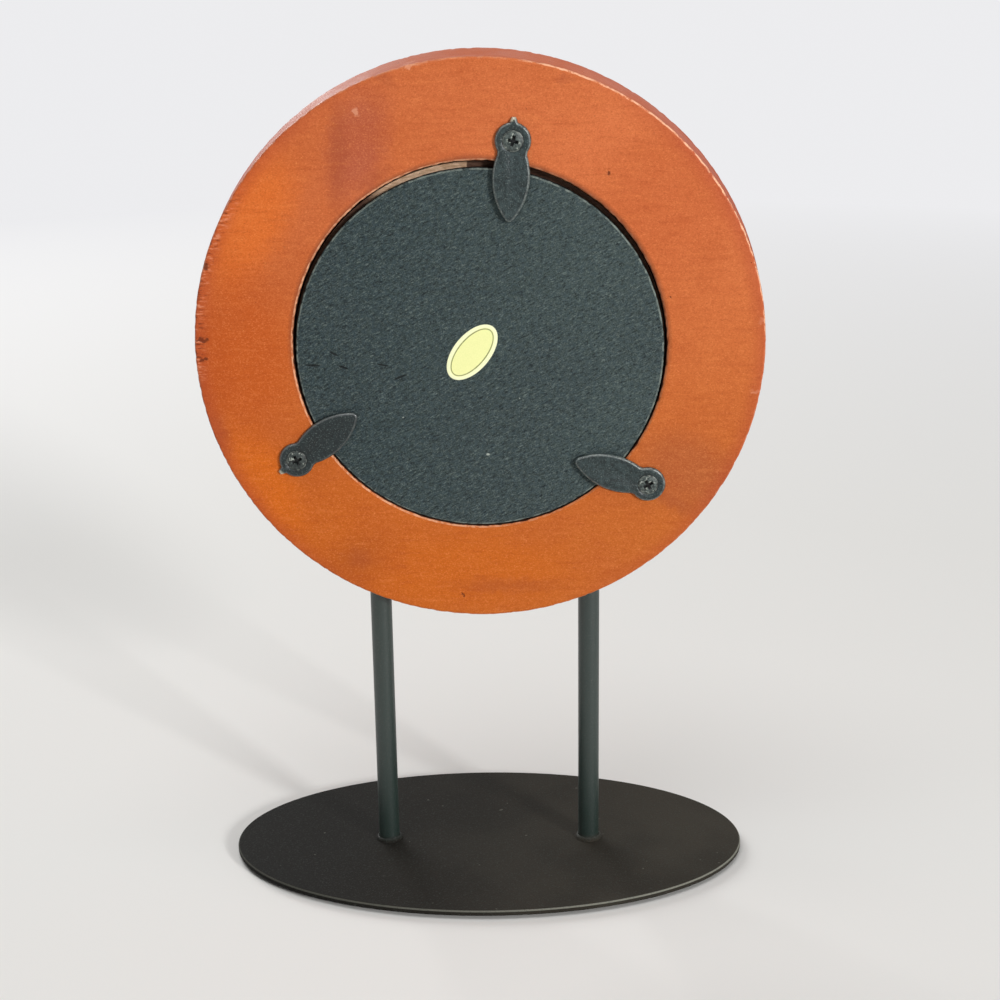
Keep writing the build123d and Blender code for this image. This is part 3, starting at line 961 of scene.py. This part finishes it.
screw_finish, tree, shader = new_finish("black_screw_steel_finish")
where = millimetres(tree)
mottle = grain(tree, where, 1.6, 4.0, 0.6)
x, y, _ = axes(tree, where)
colour = blend(tree, fade(tree, mottle, 0.35, 0.65), paint(40, 47, 47), paint(90, 100, 96))
glints = grain(tree, where, 1.4, 1.0)
# The left screw, at +X, is painted darker as painted shade, the dome gets painted glints, and the
# cross recess is painted near black as painted shade.
colour = tinted(
    tree, colour, (x, 15, 30, 0.55, (20, 25, 25)), (glints, 0.6, 0.72, 0.8, (176, 182, 172)),
    (y, button_lift + recess_lit, button_lift + recess_dark, 1, (12, 14, 15)),
)
edge = put(tree, "ShaderNodeAttribute", attribute_name="edge").outputs["Fac"]
# The rim is painted brighter, partly wear and partly a painted highlight.
edge_wear_and_highlight = product(tree, fade(tree, edge, 0.3, 1), fade(tree, grain(tree, where, 0.8, 3.0), 0.42, 0.62))
colour = blend(tree, product(tree, edge_wear_and_highlight, 0.3), colour, paint(170, 178, 168))
coat(
    tree, shader, Base_Color=colour, Roughness=fade(tree, mottle, 0.3, 0.7, 0.28, 0.45),
    Specular_IOR_Level=0.4,
)
bumped(tree, shader, mottle, 0.08)

screw_section = []
for k in range(dome_steps + 1):
    reach = head_rim * dome_share * k / dome_steps
    crown = head_low + (head_crown - head_low) * (1 - (reach / head_rim) ** 2)
    screw_section.append((Vector((reach, crown)), max(0, k - dome_steps + 2) / 2))
screw_section += [
    (Vector(point), near) for *point, near in (
        (head_rim - 0.03, head_low + 0.01, 1.0), (head_rim, head_low - 0.04, 1.0),
        (head_rim - 0.14, head_low - 0.16, 0.2), (shank_radius, 0.0, 0.0),
        (shank_radius, shank_top, 0.0), (shank_radius, shank_end, 0.0), (0.2, screw_end + 0.1, 0.0),
        (0.0, screw_end, 0.0),
    )
]

wood_screw, given = new_shape(
    "wood_screw", **lathe_sizes, Cross_Length=1.0, Cross_Width=1.0, Cross_Bottom=0.5, Head_Top=1.0,
    Lift=0.0, Heading=0.0, Screw=(0.0, 0.0, 1.0), Middle=(0.0, 0.0, 1.0), Finish="",
)
depth = maths(wood_screw, "SUBTRACT", given["Head Top"], given["Cross Bottom"])
wing = put(wood_screw, "GeometryNodeMeshCone", {
    "Vertices": 4, "Radius Top": wing_top, "Radius Bottom": wing_bottom,
    "Depth": product(wood_screw, depth, 1.5),
}).outputs[0]
wing = moved(wood_screw, wing, turn=(0.0, 0.0, math.radians(45)))
wing_size = vector(wood_screw, given["Cross Length"], given["Cross Width"], 1.0)
wings = []
for quarter in (0.0, math.radians(90)):
    turned = moved(wood_screw, wing, scale=wing_size)
    up = vector(wood_screw, z=given["Cross Bottom"])
    wings.append(moved(wood_screw, turned, up, (0.0, 0.0, quarter)))
set_on_back(wood_screw, given, cut(wood_screw, on_lathe(wood_screw, given), *wings))

for side, place in screw_places.items():
    made(
        wood_screw, "cross_head_screw_" + side, turned_blank("screw_section", screw_section),
        "frame_body", "black_screw_steel", "button_screw_" + side,
        Steps=72, Wear=0.03, Chip_Size=0.6, Uneven=0.0, Wave_Size=2.0, Cross_Length=cross_length,
        Cross_Width=cross_width, Cross_Bottom=cross_bottom, Head_Top=head_crown, Lift=button_lift,
        Heading=math.radians(cross_headings[side]), Screw=(*place, 0.0), Middle=ring_middle,
        Finish=screw_finish,
    )


# The stand is two steel rods glued into the ring and welded to an oval foot of sheet steel, with a
# small uneven bead round each rod. All of it is powder-coated in fine matte black.

weld_height, weld_inner, weld_outer, weld_bulge = 1.1, 2.77, 3.85, (3.418, 0.66)
foot_top, foot_middle = 2.4, (0.0, 0.0, 0.0)
bead_steps = 8

stand_finish, tree, shader = new_finish("black_stand_paint_finish")
where = millimetres(tree, foot_middle)
x, _, z = axes(tree, where)
peel = grain(tree, where, 2.2, 3.0, 0.6)
fine = grain(tree, where, 5.0, 2.0, 0.6)
upright = fade(tree, z, 2.5, 4.5)
# The foot is painted lighter towards −X, the side the back lamp lights, as painted light.
foot_tone = blend(tree, fade(tree, x, 60, -60), paint(25, 24, 22), paint(60, 56, 49))
cloudy = grain(tree, where, 0.03, 3.0)
foot_tone = tinted(tree, foot_tone, (cloudy, 0.4, 0.65, 0.4, (28, 26, 23)))
# A pale line along the foot's rounded rim, brighter towards −X, is a painted highlight.
foot_rim_highlight = product(
    tree, fade(tree, z, foot_top - 0.01, foot_top - 0.08),
    fade(tree, z, foot_top - 0.48, foot_top - 0.35), fade(tree, x, 50, -45, 0.3, 1),
)
foot_tone = blend(tree, foot_rim_highlight, foot_tone, paint(128, 128, 118))
colour = blend(tree, upright, foot_tone, paint(28, 44, 39))
flecks = grain(tree, where, 0.55, 1.0)
colour = tinted(
    tree, colour, (peel, 0.52, 0.72, 0.45, (66, 70, 66)), (fine, 0.44, 0.28, 0.6, (10, 11, 11)),
    (flecks, 0.77, 0.82, 0.5, (104, 104, 96)),
)
coat(
    tree, shader, Base_Color=colour, Roughness=fade(tree, upright, 0, 1, 0.66, 0.4),
    Specular_IOR_Level=fade(tree, upright, 0, 1, 0.05, 0.8),
)
bumped(tree, shader, maths(tree, "ADD", peel, product(tree, fine, 0.5)), 0.06)
for node in ("rod_left", "rod_right", "base_plate"):
    recoat(node, stand_finish)

bead_start, bead_end = Vector((weld_inner, weld_height)), Vector((weld_outer, 0.0))
bead_section = [(bead_start, 0.0)]
for k in range(1, bead_steps):
    share = k / bead_steps
    belly = 4 * Vector(weld_bulge) - bead_start - bead_end
    by = bead_start * (1 - share) ** 2 + belly * share * (1 - share) + bead_end * share ** 2
    bead_section.append((by, 0.0))
bead_section += [(bead_end, 0.0), (Vector((weld_inner, 0.0)), 0.0), (bead_start, 0.0)]

weld_bead, given = new_shape("weld_bead", **lathe_sizes, Place=(0.0, 0.0, 1.0), Finish="")
finished(weld_bead, moved(weld_bead, on_lathe(weld_bead, given), given["Place"]), given["Finish"])

for side, across in (("left", rod_spread / 2), ("right", -rod_spread / 2)):
    made(
        weld_bead, "uneven_weld_" + side, turned_blank("bead_section", bead_section),
        "frame_body", "black_stand_paint", "rod_weld_" + side,
        Steps=120, Wear=0.0, Chip_Size=1.0, Uneven=0.3, Wave_Size=1.1,
        Place=(across, 0.0, foot_top), Finish=stand_finish,
    )


# A thin oval pad of black felt is stuck under the foot, so that the bare steel doesn't scratch what
# it stands on.

felt_finish, tree, shader = new_finish("black_felt_finish")
where = millimetres(tree, foot_middle)
tangle = grain(tree, where, 1.5, 5.0, 0.75)
colour = blend(tree, fade(tree, tangle, 0.35, 0.65), paint(22, 22, 23), paint(52, 51, 50))
coat(tree, shader, Base_Color=colour, Roughness=0.95, Sheen_Weight=0.4)
bumped(tree, shader, tangle, 0.2)
recoat("felt_pad", felt_finish)
